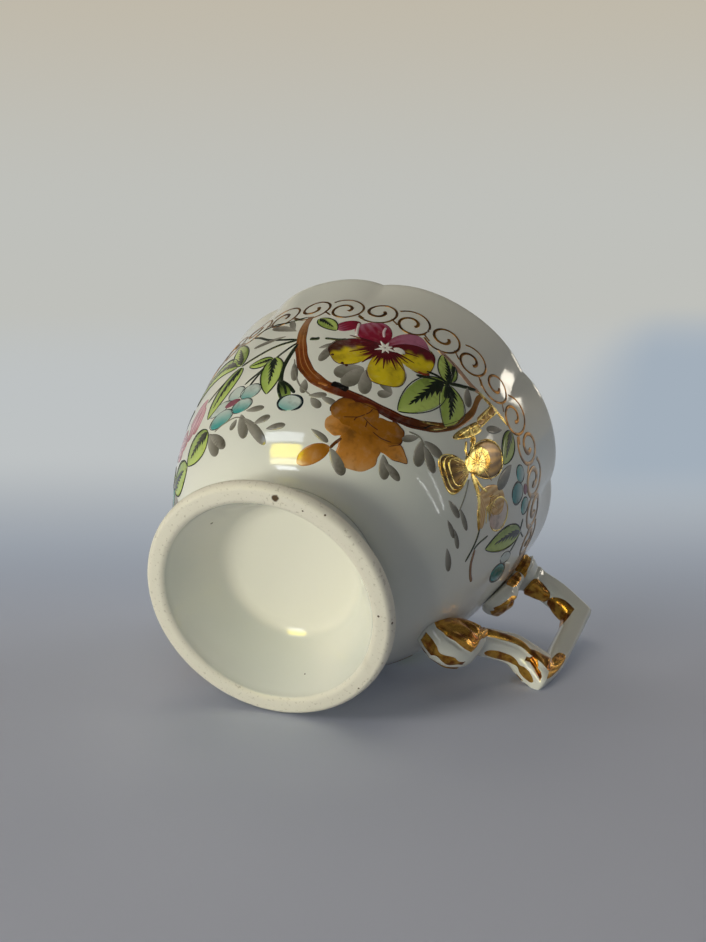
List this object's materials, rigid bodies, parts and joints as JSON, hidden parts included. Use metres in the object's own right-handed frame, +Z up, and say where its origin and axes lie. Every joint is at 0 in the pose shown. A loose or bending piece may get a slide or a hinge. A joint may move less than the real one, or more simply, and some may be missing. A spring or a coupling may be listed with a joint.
{
  "type": "moustache cup",
  "caption": "Footed porcelain drinking cup with a lobed rim, an inner ledge that keeps a moustache dry, a hollow foot and a squared, gilded branch handle.",
  "frame": {"origin": "centre of the standing ring, on the plane that the cup stands on", "axes": "+Z up the axis of the cup, +X towards the handle, -Y towards the drinker and the moustache guard"},
  "size_m": [0.1123, 0.0914, 0.0774],
  "materials": {
    "porcelain": "clear glossy glaze over white porcelain, with enamel and gold painting",
    "foot_porcelain": "clear glossy glaze, rubbed to a matt cream standing ring",
    "handle_porcelain": "clear glossy glaze with brushed gold along the edges",
    "gilding": "thin brushed and burnished gold, worn in places",
    "enamel": "glossy overglaze enamel in several colours"
  },
  "bodies": {
    "root": {"bowl": "porcelain", "foot": "foot_porcelain", "moustache_guard": "porcelain", "upper_scroll": "handle_porcelain", "upper_arm": "handle_porcelain", "back_bar": "handle_porcelain", "lower_arm": "handle_porcelain", "lower_scroll": "handle_porcelain", "upper_leaf": "handle_porcelain"}
  },
  "joints": []
}
